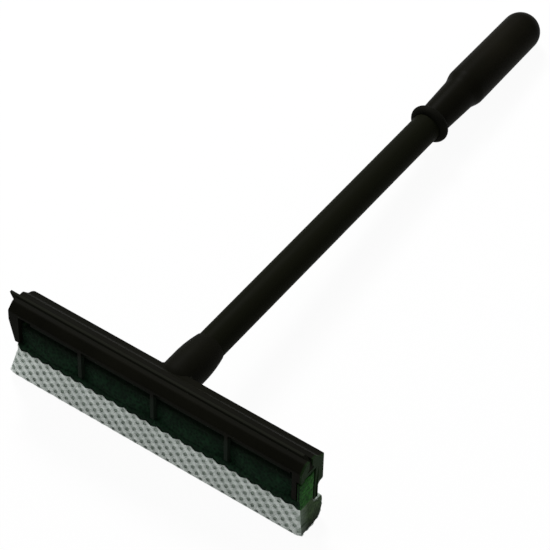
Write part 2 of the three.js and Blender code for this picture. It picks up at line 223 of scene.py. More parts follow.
def ramp(tree, value, start, end, most=1.0):
    """A share that goes from 0 at start to its most at end, and stays level past both."""
    node = add(tree, "ShaderNodeMapRange", [("Value", value), ("From Min", start), ("From Max", end),
                                            ("To Max", most)])
    return node.outputs["Result"]


def calc(tree, operation, *values):
    """One sum, such as MULTIPLY or MAXIMUM."""
    node = add(tree, "ShaderNodeMath", enumerate(values), operation=operation)
    return node.outputs["Value"]


def mix_colours(tree, share, first, second):
    """A colour between two colours or sockets, by a share from 0 to 1."""
    node = add(tree, "ShaderNodeMix", [("Factor", share), (MIX_FIRST, first), (MIX_SECOND, second)],
               data_type="RGBA")
    return node.outputs[MIX_RESULT]


def srgb(red, green, blue):
    """A colour as it is read off a screen, from 0 to 255, turned into Blender's linear values."""
    screen = Color((red / 255, green / 255, blue / 255))
    return (*screen.from_srgb_to_scene_linear(), 1.0)


def new_finish(name):
    """A new material, with its node tree and its shader."""
    finish = bpy.data.materials.new(name)
    finish.use_nodes = True
    tree = finish.node_tree
    return finish, tree, tree.nodes["Principled BSDF"]


# %% [markdown]
# ## The moulded grain that the plastics share
# Moulded and drawn plastics are never one flat colour: the mould leaves a fine grain, the colour
# swims a little, and hands and floors leave faint scuffs. These belong to several finishes, so they
# are one shader group that takes a place on the piece and gives out a mask, a roughness and a height.

# %% A group for grain, swim and scuffs
def new_group(name, inputs, outputs):
    """A shader group with named sockets, and its input and output nodes."""
    group = bpy.data.node_groups.new(name, "ShaderNodeTree")
    for title, kind, value in inputs:
        socket = group.interface.new_socket(title, in_out="INPUT", socket_type=kind)
        if value is not None:
            socket.default_value = value
    for title, kind in outputs:
        group.interface.new_socket(title, in_out="OUTPUT", socket_type=kind)
    return group, group.nodes.new("NodeGroupInput"), group.nodes.new("NodeGroupOutput")


NUMBER, PLACE = "NodeSocketFloat", "NodeSocketVector"
SWIM_RANGE = (0.3, 0.7)
grain_group, taken, given = new_group(
    "moulded_grain",
    [("Place", PLACE, None), ("Grain scale", NUMBER, 900), ("Swim scale", NUMBER, 14),
     ("Smoothest", NUMBER, 0.45), ("Roughest", NUMBER, 0.65)],
    [("Swim", NUMBER), ("Roughness", NUMBER), ("Grain", NUMBER)])
fine = add(grain_group, "ShaderNodeTexNoise",
           [("Vector", taken.outputs["Place"]), ("Scale", taken.outputs["Grain scale"]),
            ("Detail", 3.0)])
swim = add(grain_group, "ShaderNodeTexNoise",
           [("Vector", taken.outputs["Place"]), ("Scale", taken.outputs["Swim scale"]),
            ("Detail", 5.0), ("Roughness", 0.6)])
swim_share = ramp(grain_group, swim.outputs["Fac"], *SWIM_RANGE)
scuffs = calc(grain_group, "MULTIPLY", swim_share, fine.outputs["Fac"])
rough = add(grain_group, "ShaderNodeMapRange",
            [("Value", scuffs), ("From Max", 0.7), ("To Min", taken.outputs["Smoothest"]),
             ("To Max", taken.outputs["Roughest"])])
for name, socket in (("Swim", swim_share), ("Roughness", rough.outputs["Result"]),
                     ("Grain", fine.outputs["Fac"])):
    grain_group.links.new(socket, given.inputs[name])
print("group", grain_group.name, "has", len(grain_group.nodes), "nodes")

# %% [markdown]
# ## Finishes of the plastics and rubbers
# The head and grip are moulded black plastic with a trace of olive, the shaft is drawn tube with
# faint streaks along it, and the ring and blade are duller rubber. One function builds them from the
# group above, because they differ only in colour, streak, roughness and shine.

# %% Black plastics and rubbers
GRAIN_HEIGHT = 0.00006


def plastic(name, deep, pale, roughness, shine, streak=(1, 1, 1)):
    """A finish between two tones and two roughnesses, with a grain that a streak draws out."""
    finish, tree, shader = new_finish(name)
    place = add(tree, "ShaderNodeTexCoord")
    stretch = add(tree, "ShaderNodeMapping",
                  [("Vector", place.outputs["Object"]), ("Scale", streak)])
    surface = add(tree, "ShaderNodeGroup", node_tree=grain_group)
    tree.links.new(stretch.outputs["Vector"], surface.inputs["Place"])
    for limit, value in zip(("Smoothest", "Roughest"), roughness):
        surface.inputs[limit].default_value = value
    colour = mix_colours(tree, surface.outputs["Swim"], srgb(*deep), srgb(*pale))
    bump = add(tree, "ShaderNodeBump", [("Height", surface.outputs["Grain"]),
                                        ("Distance", GRAIN_HEIGHT), ("Strength", 0.5)])
    tree.links.new(colour, shader.inputs["Base Color"])
    tree.links.new(surface.outputs["Roughness"], shader.inputs["Roughness"])
    tree.links.new(bump.outputs["Normal"], shader.inputs["Normal"])
    shader.inputs["Specular IOR Level"].default_value = shine
    return finish


head_plastic = plastic("head_plastic", (12, 12, 8), (21, 21, 15), roughness=(0.5, 0.68), shine=0.012)
shaft_plastic = plastic("shaft_plastic", (13, 14, 8), (22, 23, 15), roughness=(0.46, 0.62),
                        shine=0.008, streak=(1, 0.04, 1))
grip_plastic = plastic("grip_plastic", (11, 11, 7), (21, 20, 14), roughness=(0.42, 0.56), shine=0.012)
ring_rubber = plastic("ring_rubber", (14, 14, 11), (24, 24, 19), roughness=(0.6, 0.78), shine=0.012)
blade_rubber = plastic("blade_rubber", (22, 23, 18), (33, 34, 28), roughness=(0.65, 0.85),
                       shine=0.01, streak=(0.05, 1, 1))
print("plastics and rubbers:", [m.name for m in (head_plastic, shaft_plastic, grip_plastic,
                                                 ring_rubber, blade_rubber)])

# %% [markdown]
# ## The head
# The head is one long moulding: a flat rail at the back that carries the handle's socket, two lips
# that pinch the blade, the front one sloped, and two skirts that hold the pad. Its section is the
# same all along, so it is drawn out in one go. The back corners are rounded by keeping only what lies
# inside a plan with round corners, and the front part is cut off on a slant at each end. The head's
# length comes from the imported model. A cutting shape reaches out far past what it cuts.

# %% The head's section
def half_length(node):
    """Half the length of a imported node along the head, in millimetres, to a hundredth."""
    low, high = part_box(node)
    return round((high[0] - low[0]) / 2 / METRES, 2)


HEAD_HALF = half_length("head_frame")
RAIL_FRONT, RAIL_LOW = -6.7, -18.7
BACK_WALL, BACK_LOW = -9.2, -32
FRONT_WALL, FRONT_LOW = -20.4, -21
HEAD_FRONT, NOSE_TOP = -23.4, 3.6
LIP_FRONT, LIP_TOP = -19.2, 7.8
BACK_LIP, BACK_LIP_TOP = -9.55, 7
BACK_LAND, LAND_TOP = -5.0, 1.8
ROOF = -3
BLADE_PLACE = -14.4
SLOT_HALF, SLOT_STEP = 1.45, 1.1
FOOT_SLOT_HALF, SLOT_FLOOR = 2.65, -0.8
SOFT_EDGE, FINE_EDGE = 0.9, 0.4
LIP_EDGE, NOTCH_ROUND = 0.7, 2.5
slot_front, slot_back = BLADE_PLACE - SLOT_HALF, BLADE_PLACE + SLOT_HALF
foot_front, foot_back = BLADE_PLACE - FOOT_SLOT_HALF, BLADE_PLACE + FOOT_SLOT_HALF
head_section = [
    (0, 0, SOFT_EDGE), (0, RAIL_LOW, SOFT_EDGE), (RAIL_FRONT, RAIL_LOW, NOTCH_ROUND),
    (RAIL_FRONT, BACK_LOW, FINE_EDGE), (BACK_WALL, BACK_LOW, FINE_EDGE), (BACK_WALL, ROOF),
    (FRONT_WALL, ROOF), (FRONT_WALL, FRONT_LOW, FINE_EDGE), (HEAD_FRONT, FRONT_LOW, SOFT_EDGE),
    (HEAD_FRONT, NOSE_TOP, LIP_EDGE), (LIP_FRONT, LIP_TOP, LIP_EDGE), (slot_front, LIP_TOP, FINE_EDGE),
    (slot_front, SLOT_STEP), (foot_front, SLOT_STEP), (foot_front, SLOT_FLOOR),
    (foot_back, SLOT_FLOOR), (foot_back, SLOT_STEP), (slot_back, SLOT_STEP),
    (slot_back, BACK_LIP_TOP, FINE_EDGE), (BACK_LIP, BACK_LIP_TOP, SOFT_EDGE),
    (BACK_LAND, LAND_TOP, SOFT_EDGE),
]
head = as_object(prism(head_section, "X", -HEAD_HALF, HEAD_HALF), "head_moulding")
print("the head is", 2 * HEAD_HALF, "mm long")

# %% Round back corners and slanted ends
FAR_SIDE, FAR_FRONT = 120, -40
FAR_LOW, FAR_HIGH = -60, 30
PLAN_ROUND, PLAN_STEPS = 3.0, 8
SLANT_TOP = -4
LEFT, RIGHT = -1, 1
DRAWN_IN = {LEFT: 4, RIGHT: 0.8}
WAIST = {side: HEAD_HALF - inward for side, inward in DRAWN_IN.items()}


def end_outline(side, corners):
    """Outline, in x and z, of what is cut off one end: down the corners, then round outside."""
    line = [(side * x, z) for x, z in corners]
    return line + [(line[-1][0], FAR_LOW), (side * FAR_SIDE, FAR_LOW), (side * FAR_SIDE, line[0][1])]


plan = [(-HEAD_HALF, FAR_FRONT), (HEAD_HALF, FAR_FRONT), (HEAD_HALF, 0, PLAN_ROUND),
        (-HEAD_HALF, 0, PLAN_ROUND)]
combine(head, prism(plan, "Z", FAR_LOW, FAR_HIGH, segments=PLAN_STEPS), "INTERSECT")
for side, waist in WAIST.items():
    outline = end_outline(side, [(HEAD_HALF, SLANT_TOP), (waist, FRONT_LOW)])
    combine(head, prism(outline, "Y", FAR_FRONT, RAIL_FRONT), "DIFFERENCE")
print("head bar has", len(head.data.polygons), "faces")

# %% [markdown]
# ## Windows, hollow rail and socket
# The front wall is notched from below into four windows that show the foam, with thin ribs left
# between them. The last rib stands in from the right end, so the foam's cut end shows whole there.
# The rail is cored out from below to keep its walls even, apart from the part that holds the socket.
# The socket is turned: a nose that runs up over the rail, a straight part, and a taper to a thin
# mouth. A small concave fillet where it meets the rail is turned on its own and trimmed to the
# rail's height, so that it does not stand up over the top edge.

# %% Windows and cores
WINDOWS = 4
BAY = 2 * HEAD_HALF / WINDOWS
RIB = 2.4
END_RIB = 3
OPEN_END, OPEN_END_TOP = 2.6, -4.5
WINDOW_TOP, WINDOW_ROUND = 1.6, 0.8
WINDOW_BACK = -20.1
RAIL_SKIN = -2.2
CORE_CLEAR, CORE_LOW = 14.2, -25
open_left = WAIST[RIGHT] - OPEN_END
windows = []
for number in range(WINDOWS):
    left = max(number * BAY - HEAD_HALF + RIB / 2, END_RIB - WAIST[LEFT])
    right = min((number + 1) * BAY - HEAD_HALF - RIB / 2, open_left - END_RIB)
    windows.append((left, right))
    window = [(left, FAR_LOW), (right, FAR_LOW), (right, WINDOW_TOP, WINDOW_ROUND),
              (left, WINDOW_TOP, WINDOW_ROUND)]
    combine(head, prism(window, "Y", FAR_FRONT, WINDOW_BACK), "DIFFERENCE")
    core_left = CORE_CLEAR if -CORE_CLEAR < left < CORE_CLEAR else left
    core_right = -CORE_CLEAR if -CORE_CLEAR < right < CORE_CLEAR else right
    core = [(core_left, RAIL_FRONT), (core_right, RAIL_FRONT), (core_right, RAIL_SKIN),
            (core_left, RAIL_SKIN)]
    combine(head, prism(core, "Z", CORE_LOW, ROOF), "DIFFERENCE")
end_gap = [(open_left, FAR_LOW), (FAR_SIDE, FAR_LOW), (FAR_SIDE, OPEN_END_TOP),
           (open_left, OPEN_END_TOP)]
combine(head, prism(end_gap, "Y", FAR_FRONT, WINDOW_BACK), "DIFFERENCE")
print("head with windows has", len(head.data.polygons), "faces")

# %% Socket
SOCKET, MOUTH = 12, 10.0
SOCKET_TAPER, SOCKET_END = 12.6, 30.9
NOSE_DROP = 4
CURVE_STEPS = 8
QUARTER = math.pi / 2
taper = [(SOCKET - (SOCKET - MOUTH) * share ** 2, SOCKET_TAPER + (SOCKET_END - SOCKET_TAPER) * share)
         for share in even_steps(1, CURVE_STEPS)]
nose = [(SOCKET - NOSE_DROP * (1 - math.sin(angle)), RAIL_FRONT * math.cos(angle))
        for angle in even_steps(QUARTER, CURVE_STEPS)]
combine(head, turned([(0, RAIL_FRONT)] + nose + taper + [(0, SOCKET_END)]), "UNION")
print("socket reaches", SOCKET_END, "mm back from the head")

# %% Fillet and bore
FILLET, FILLET_STEPS = 2.2, 6
FILLET_OVERLAP, FILLET_SUNK = 2, -1
FILLET_TOP, FILLET_LOW = -1.0, RAIL_LOW + SOFT_EDGE
BORE = 9.6
BORE_FLOOR, BORE_OUT = 1.5, 40
fillet_in = SOCKET - FILLET_OVERLAP
fillet_arc = [(SOCKET + FILLET - FILLET * math.sin(angle), FILLET - FILLET * math.cos(angle))
              for angle in even_steps(QUARTER, FILLET_STEPS)]
fillet = turned([(fillet_in, FILLET_SUNK), (SOCKET + FILLET, FILLET_SUNK)] + fillet_arc
                + [(fillet_in, FILLET), (fillet_in, FILLET_SUNK)])
for height, way in ((FILLET_TOP, 1), (FILLET_LOW, -1)):
    cut = bmesh.ops.bisect_plane(fillet, geom=fillet.verts[:] + fillet.edges[:] + fillet.faces[:],
                                 plane_co=(0, 0, height), plane_no=(0, 0, way), clear_outer=True)
    rim = [e for e in cut["geom_cut"] if isinstance(e, bmesh.types.BMEdge)]
    bmesh.ops.holes_fill(fillet, edges=rim)
bmesh.ops.recalc_face_normals(fillet, faces=fillet.faces[:])
combine(head, fillet, "UNION")
bore = [(0, BORE_FLOOR), (BORE, BORE_FLOOR), (BORE, BORE_OUT), (0, BORE_OUT)]
combine(head, turned(bore), "DIFFERENCE")
print("head with socket has", len(head.data.polygons), "faces")

# %% [markdown]
# ## The screw's seat
# One screw from below pins the shaft in its socket. Its hole and round seat are cut with plain round
# bars. The whole head then goes onto the frame.

# %% Screw seat, then the head is set down
SCREW_PLACE, SCREW_HOLE = 16.1, 1.8
SEAT_ROUND, SEAT_DEPTH = 3.5, 0.8
SEAT = -AXIS_DROP - SOCKET + SEAT_DEPTH
BAR_LOW, BAR_STEPS = -24, 32
HOLE_TOP = -15


def round_bar(radius, high):
    """An upright bar in the screw's place, from below the socket up to a height."""
    bm = bmesh.new()
    bmesh.ops.create_cone(bm, cap_ends=True, segments=BAR_STEPS, radius1=radius, radius2=radius,
                          depth=high - BAR_LOW)
    bmesh.ops.translate(bm, verts=bm.verts[:], vec=(0, SCREW_PLACE, (BAR_LOW + high) / 2))
    return bm


combine(head, round_bar(SCREW_HOLE, HOLE_TOP), "DIFFERENCE")
combine(head, round_bar(SEAT_ROUND, SEAT), "DIFFERENCE")
set_down(head, "tool", "head_frame", head_plastic)

# %% [markdown]
# ## Painted light on the ribs and the right end
# The fronts of the ribs between the windows are painted a little paler and greener, as painted light
# on faces that stand out to the light. Only they lie low, far forward and away from the ends, so three
# ranges of place pick them out. The head's right end face is painted lighter and green as painted
# light, by a fourth range. The ranges are in metres, in the frame of the finished model.

# %% Painted light on the ribs and the right end
RIB_HEIGHTS = (0.050, 0.046)
RIB_FRONT = (-0.003, -0.005)
RIB_INNER = (0.09, 0.085)
RIB_LIGHT_MOST = 0.85
END_FACE = (0.1005, 0.1015)
END_LIGHT_MOST = 0.8
tree = head_plastic.node_tree
shader = tree.nodes["Principled BSDF"]
place = add(tree, "ShaderNodeTexCoord")
split = add(tree, "ShaderNodeSeparateXYZ", [("Vector", place.outputs["Object"])])
# Painted light: the rib fronts between the windows are painted paler and greener.
low = ramp(tree, split.outputs["Z"], *RIB_HEIGHTS)
front = ramp(tree, split.outputs["Y"], *RIB_FRONT, most=RIB_LIGHT_MOST)
inner = ramp(tree, calc(tree, "ABSOLUTE", split.outputs["X"]), *RIB_INNER)
rib_light = calc(tree, "MULTIPLY", calc(tree, "MULTIPLY", low, front), inner)
plain = shader.inputs["Base Color"].links[0].from_socket
lit_ribs = mix_colours(tree, rib_light, plain, srgb(25, 33, 26))
# Painted light: the head's right end face is painted lighter and green.
end_light = ramp(tree, split.outputs["X"], *END_FACE, most=END_LIGHT_MOST)
lit_end = mix_colours(tree, end_light, lit_ribs, srgb(24, 42, 20))
tree.links.new(lit_end, shader.inputs["Base Color"])
print("head finish has", len(tree.nodes), "nodes")

# %% [markdown]
# ## The rubber blade
# The blade is a strip of rubber with a wider foot that slides into the head's slot. Its ends are cut
# on a curved slant, so its wiping edge runs out to a thin point past one end. The strip is drawn out
# square first, and every level of it is then shifted along by its own amount.

# %% Blade
FOOT, FOOT_EDGE = 2.35, 0.25
FOOT_LOW, FOOT_TOP = -0.5, 0.8
WALL, WALL_EDGE = 1.3, 0.15
WALL_LEVELS = (3.0, 4.6, 6.0, 7.6)
TIP, BLADE_TOP = 0.8, 8.6
BLADE_STEPS = 3
SLANT, SLANT_CURVE = 5.0, 2.2
blade_half = ([(FOOT, FOOT_LOW, FOOT_EDGE), (FOOT, FOOT_TOP, FOOT_EDGE), (WALL, FOOT_TOP, WALL_EDGE)]
              + [(WALL, level, 0) for level in WALL_LEVELS] + [(TIP, BLADE_TOP, WALL_EDGE)])
blade_section = ([(BLADE_PLACE + y, z, r) for y, z, r in blade_half]
                 + [(BLADE_PLACE - y, z, r) for y, z, r in reversed(blade_half)])
blade_shape = prism(blade_section, "X", -HEAD_HALF, HEAD_HALF, segments=BLADE_STEPS)
for vert in blade_shape.verts:
    vert.co.x -= SLANT * ((vert.co.z - FOOT_LOW) / (BLADE_TOP - FOOT_LOW)) ** SLANT_CURVE
blade = as_object(blade_shape, "rubber_blade")
set_down(blade, "blade", "wiper_blade", blade_rubber)

# %% [markdown]
# ## Shaft, hand stop and grip
# All three are round, so each is a profile turned about the same axis. The shaft is a plain tube, the
# hand stop a soft round ring at its end, and the grip a neck that swells into a long body with a
# round end. The profile's corners are rounded before turning.

# %% Shaft
SHAFT, SHAFT_BORE = 9.3, 7.3
SHAFT_START, SHAFT_END = 1.8, 257.6
BORE_EDGE = 0.2
START_EDGE, END_EDGE = 0.4, 0.3
SHAFT_HOLE_TOP = -12
shaft_profile = [(SHAFT_BORE, SHAFT_START, BORE_EDGE), (SHAFT, SHAFT_START, START_EDGE),
                 (SHAFT, SHAFT_END, END_EDGE), (SHAFT_BORE, SHAFT_END), (SHAFT_BORE, SHAFT_START)]
shaft = as_object(turned(shaft_profile), "handle_shaft")
combine(shaft, round_bar(SCREW_HOLE, SHAFT_HOLE_TOP), "DIFFERENCE")
set_down(shaft, "tool", "shaft_tube", shaft_plastic)

# %% Hand stop
RING_CENTRE, RING_ROUND = 9.9, 3.1
RING_STEPS = 16
ring_start, ring_end = SHAFT_END - RING_ROUND, SHAFT_END + RING_ROUND
ring_arc = [(RING_CENTRE + RING_ROUND * math.sin(angle), SHAFT_END - RING_ROUND * math.cos(angle))
            for angle in even_steps(math.pi, RING_STEPS)]
ring = as_object(turned([(BORE, ring_start)] + ring_arc + [(BORE, ring_end), (BORE, ring_start)]),
                 "hand_stop")
set_down(ring, "tool", "hand_stop_ring", ring_rubber)

# %% Grip
SEAT_GAP = 0.3
CLOSED_END = 20
CORE, CORE_END = 4.6, GRIP_LENGTH - CLOSED_END
PLUG, PLUG_START = 7.0, 219.6
PLUG_EDGE, COLLAR_EDGE = 0.5, 0.3
COLLAR = 9.75
NECK, NECK_END = 10.9, 289.1
NECK_SWELL, SWELL_LENGTH = 2.0, 10
NECK_STEPS, DOME_STEPS = 12, 16
shaft_stop, collar_start = SHAFT_END + SEAT_GAP, ring_end + SEAT_GAP
neck = [(NECK + NECK_SWELL * (1 - math.cos(math.pi * share)) / 2, NECK_END + SWELL_LENGTH * share)
        for share in even_steps(1, NECK_STEPS)]
dome = [(GRIP_END * math.cos(angle), GRIP_LENGTH - GRIP_END + GRIP_END * math.sin(angle))
        for angle in even_steps(QUARTER, DOME_STEPS)[:-1]]
grip_profile = ([(0, CORE_END), (CORE, CORE_END - CORE), (CORE, PLUG_START),
                 (PLUG, PLUG_START, PLUG_EDGE), (PLUG, shaft_stop), (SHAFT, shaft_stop),
                 (SHAFT, collar_start), (COLLAR, collar_start, COLLAR_EDGE)]
                + neck + dome + [(0, GRIP_LENGTH)])
grip = as_object(turned(grip_profile), "hand_grip")
set_down(grip, "tool", "grip", grip_plastic)

# %% [markdown]
# ## The screw
# A small pan-head screw with a cross recess, turned like the rest and then stood on end. The recess
# is two thin bars taken away. Its finish is dull zinc: metal with a fine uneven roughness.

# %% Screw's steel
screw_steel, tree, shader = new_finish("screw_steel")
place = add(tree, "ShaderNodeTexCoord")
worn = add(tree, "ShaderNodeGroup", node_tree=grain_group)
tree.links.new(place.outputs["Object"], worn.inputs["Place"])
worn.inputs["Smoothest"].default_value = 0.25
worn.inputs["Roughest"].default_value = 0.5
tint = mix_colours(tree, worn.outputs["Swim"], srgb(150, 150, 146), srgb(178, 178, 172))
tree.links.new(tint, shader.inputs["Base Color"])
tree.links.new(worn.outputs["Roughness"], shader.inputs["Roughness"])
shader.inputs["Metallic"].default_value = 1.0
print("screw finish has", len(tree.nodes), "nodes")

# %% Screw
PAN, PAN_HEIGHT = 3.2, 2.0
PAN_TOP, PAN_CROWN = 2.2, 1.0
PAN_EDGE, PAN_UNDER_EDGE = 0.5, 0.2
THREAD, THREAD_END = 1.5, 7.0
SCREW_TIP = 8.5
SCREW_STEPS = 48
RECESS_LONG, RECESS_THIN = 1.8, 0.45
RECESS_DEPTH = 1
screw_shape = turned([(0, 0), (PAN_TOP, 0), (PAN, PAN_CROWN, PAN_EDGE),
                      (PAN, PAN_HEIGHT, PAN_UNDER_EDGE), (THREAD, PAN_HEIGHT), (THREAD, THREAD_END),
                      (0, SCREW_TIP)], steps=SCREW_STEPS)
bmesh.ops.translate(screw_shape, verts=screw_shape.verts[:], vec=(0, 0, AXIS_DROP))
screw = as_object(screw_shape, "socket_pin_screw")
for wide, high in ((RECESS_LONG, RECESS_THIN), (RECESS_THIN, RECESS_LONG)):
    arm = [(-wide, -high), (wide, -high), (wide, high), (-wide, high)]
    combine(screw, prism(arm, "Y", -RECESS_DEPTH, RECESS_DEPTH), "DIFFERENCE")
stand = Matrix.Translation((0, SCREW_PLACE, SEAT - SEAT_GAP - PAN_HEIGHT))
screw.data.transform(stand @ Matrix.Rotation(QUARTER, 4, "X"))
set_down(screw, "tool", "socket_screw", screw_steel)

# %% [markdown]
# ## The foam's colours
# The pad is a block of coarse green foam, whose open cells give it a dark and a pale tone in every
# part of it. High in the windows, under the head's lip, it is painted nearly black as shade. Its cut
# end faces are painted paler and greener as painted light, under the net it is painted pale grey to
# lift the shade in the net's gaps, and low on its cut ends it is painted dark as shade near the floor.
# Heights come from Object coordinates. What follows the surface comes from two notes that each point
# of the mesh keeps, which are written when the shape is made.

# %% Foam finish
PORES = (0.15, 0.75)
LIP_SHADE_HEIGHTS = (0.0352, 0.0415)
FLOOR_SHADE_HEIGHTS = (0.012, 0.001)
FLOOR_SHADE_MOST = 0.9
green_foam, tree, shader = new_finish("green_foam")
place = add(tree, "ShaderNodeTexCoord")
cells = add(tree, "ShaderNodeTexVoronoi",
            [("Vector", place.outputs["Object"]), ("Scale", 520.0), ("Randomness", 1.0)])
clumps = add(tree, "ShaderNodeTexNoise",
             [("Vector", place.outputs["Object"]), ("Scale", 160.0), ("Detail", 4.0)])
pores = ramp(tree, cells.outputs["Distance"], *PORES)
shade = calc(tree, "MULTIPLY", pores, clumps.outputs["Fac"])


def foam_tones(deep, pale):
    """A deep and a pale tone, mixed cell by cell."""
    return mix_colours(tree, shade, srgb(*deep), srgb(*pale))


split = add(tree, "ShaderNodeSeparateXYZ", [("Vector", place.outputs["Object"])])
lit_cut_end = add(tree, "ShaderNodeAttribute", attribute_name="lit_cut_end").outputs["Fac"]
under_net = add(tree, "ShaderNodeAttribute", attribute_name="under_net").outputs["Fac"]
# Painted shade: high in the windows, under the head's lip, the foam turns nearly black.
lip_shade = ramp(tree, split.outputs["Z"], *LIP_SHADE_HEIGHTS)
floor_shade = ramp(tree, split.outputs["Z"], *FLOOR_SHADE_HEIGHTS, most=FLOOR_SHADE_MOST)
in_windows = mix_colours(tree, lip_shade, foam_tones((8, 20, 12), (23, 52, 32)),
                         foam_tones((1, 8, 1), (3, 20, 4)))
# Painted light: under the net the foam is pale grey, which lifts the shade in the net's gaps.
faces = mix_colours(tree, under_net, in_windows, foam_tones((152, 164, 154), (188, 200, 190)))
# Painted shade: low on the cut ends the foam turns nearly black towards the floor.
shaded_low_end = mix_colours(tree, floor_shade, foam_tones((40, 54, 36), (66, 86, 54)), srgb(12, 14, 10))
# Painted light: the foam's cut end faces take paler, greener tones than the foam in the windows.
ends = mix_colours(tree, under_net, foam_tones((19, 48, 16), (46, 106, 38)), shaded_low_end)
tree.links.new(mix_colours(tree, lit_cut_end, faces, ends), shader.inputs["Base Color"])
bump = add(tree, "ShaderNodeBump", [("Height", shade), ("Distance", 0.0006), ("Strength", 0.9)])
tree.links.new(bump.outputs["Normal"], shader.inputs["Normal"])
shader.inputs["Roughness"].default_value = 0.95
shader.inputs["Specular IOR Level"].default_value = 0.1
print("foam finish has", len(tree.nodes), "nodes")

# %% [markdown]
# ## The foam pad
# The pad has a neck up inside the head, seen through the windows and at the ends, and a wider body
# below that rounds off at the heel. Foam has no sharp edges and no flat faces, so the drawn-out
# section is remeshed into small even squares, smoothed, and pushed in and out a little by noise. It
# swells into each window, more and more towards the pad, stays back at the ribs, and comes right out
# at the open right end. No simulation is needed, because a firm block does not hang or fold. The noise
# has broad and fine lumps, each with a scale and a height.

# %% Foam block
PAD_HALF = half_length("sponge_net")
PAD_DRAWN_IN = {LEFT: 5.55, RIGHT: 0.5}
PAD_WAIST = {side: HEAD_HALF - inward for side, inward in PAD_DRAWN_IN.items()}
WAIST_DROP = -25.2
FOAM_GAP = 0.5
PAD_FRONT, PAD_TOP = -24.0, FRONT_LOW - FOAM_GAP
TOE_FRONT, TOE_LOW = -24.2, -49.4
PAD_BACK, PAD_BACK_LOW = -1.9, -49.6
PAD_BACK_TOP = -32.9
NECK_BACK, NECK_TOP = BACK_WALL - FOAM_GAP, -5.3
NECK_FRONT = -17.4
SHOULDER_ROUND, TOE_ROUND = 1.6, 2.4
PAD_HEEL_ROUND = 8.9
FOAM_ROUND, NECK_ROUND = 2.0, 0.6
PAD_STEPS = 8
SQUARE = 1.1
pad_section = [
    (PAD_FRONT, PAD_TOP, SHOULDER_ROUND), (TOE_FRONT, TOE_LOW, TOE_ROUND),
    (PAD_BACK, PAD_BACK_LOW, PAD_HEEL_ROUND), (PAD_BACK, PAD_BACK_TOP, FOAM_ROUND),
    (NECK_BACK, PAD_BACK_TOP), (NECK_BACK, NECK_TOP, NECK_ROUND), (NECK_FRONT, NECK_TOP, FOAM_ROUND),
    (NECK_FRONT, PAD_TOP),
]
pad = as_object(prism(pad_section, "X", -PAD_HALF, PAD_HALF, segments=PAD_STEPS), "foam_pad")
for side, waist in PAD_WAIST.items():
    outline = end_outline(side, [(HEAD_HALF, SLANT_TOP), (waist, WAIST_DROP), (PAD_HALF, PAD_LOW)])
    combine(pad, prism(outline, "Y", FAR_FRONT, 0), "DIFFERENCE")
squares = pad.modifiers.new("squares", "REMESH")
squares.mode = "VOXEL"
squares.voxel_size = SQUARE
bake(pad)
print("foam block has", len(pad.data.polygons), "squares")

# %% Foam softened and swollen
SMOOTH_ROUNDS, SMOOTH_SHARE = 3, 0.5
LUMPS = ((0.45, 0.12), (0.09, 0.15))
SWELL_TOP = -8
SWELL_ALONG, SWELL_DOWN = 0.4, 0.6
HELD_SWELL, HELD_ENDS = 0.42, 94
HELD_TOP, HELD_FADE = -6, 3
OPEN_MARGIN, OPEN_TOP = 0.4, -5
SWOLLEN_FACE, SWOLLEN_BACK = -23.2, -16.2


def unit(value):
    """Holds a number between 0 and 1."""
    return min(max(value, 0), 1)


def swell_at(x, z):
    """How far the neck comes forward at a place: 0 not at all, 1 out to the swollen face."""
    if x > open_left + OPEN_MARGIN and z < OPEN_TOP:
        return 1
    swell = HELD_SWELL if abs(x) > HELD_ENDS else HELD_SWELL * unit((HELD_TOP - z) / HELD_FADE)
    depth = (SWELL_TOP - z) / (SWELL_TOP - PAD_TOP)
    for left, right in windows:
        if left < x < right and 0 < depth < 1:
            along = math.sin(math.pi * (x - left) / (right - left))
            swell = max(swell, along ** SWELL_ALONG * depth ** SWELL_DOWN)
    return swell


soft = bmesh.new()
soft.from_mesh(pad.data)
for _ in range(SMOOTH_ROUNDS):
    bmesh.ops.smooth_vert(soft, verts=soft.verts[:], factor=SMOOTH_SHARE, use_axis_x=True,
                          use_axis_y=True, use_axis_z=True)
soft.normal_update()
for vert in soft.verts:
    vert.co += vert.normal * sum(noise.noise(vert.co * scale) * height for scale, height in LUMPS)
    if vert.co.y < SWOLLEN_BACK:
        vert.co.y -= max(vert.co.y - SWOLLEN_FACE, 0) * swell_at(vert.co.x, vert.co.z)
soft.normal_update()
print("foam is softened and swollen at", len(soft.verts), "points")

# %% [markdown]
# ## Notes for the foam's finish
# A point notes how squarely it faces an end, which marks the cut end faces that are painted lighter
# as painted light, and whether it lies under the net. The net's edge is a row of scallops that falls a
# little towards the right, so the note under the net follows a cosine with the net's own step, and
# the foam stays green in the notches.

# %% Cut ends and the net's edge
CUT_FROM, CUT_FADE = 0.4, 0.4
STEP_A = Vector((5.1, -3.55))
STEP_B = Vector((2.65, 3.55))
EDGE_ROWS = 7
NET_EDGE, TOP_FALL = -25.1, 0.0065
SCALLOP = 1.1
NET_COVER_FADE = 0.6


def net_edge(x):
    """Height of the net's scalloped front edge."""
    notch = math.cos(math.tau * (x + (EDGE_ROWS - 1) * STEP_B.x) / (STEP_A.x + STEP_B.x))
    return NET_EDGE - TOP_FALL * (x + PAD_HALF) - SCALLOP * notch


facing = [unit((abs(vert.normal.x) - CUT_FROM) / CUT_FADE) for vert in soft.verts]
soft.to_mesh(pad.data)
soft.free()
net_cover = [unit((net_edge(vert.co.x) - vert.co.z) / NET_COVER_FADE) for vert in pad.data.vertices]
for note, values in (("lit_cut_end", facing), ("under_net", net_cover)):
    pad.data.attributes.new(note, "FLOAT", "POINT").data.foreach_set("value", values)
set_down(pad, "tool", "sponge", green_foam, sharp=SOFT_ANGLE)

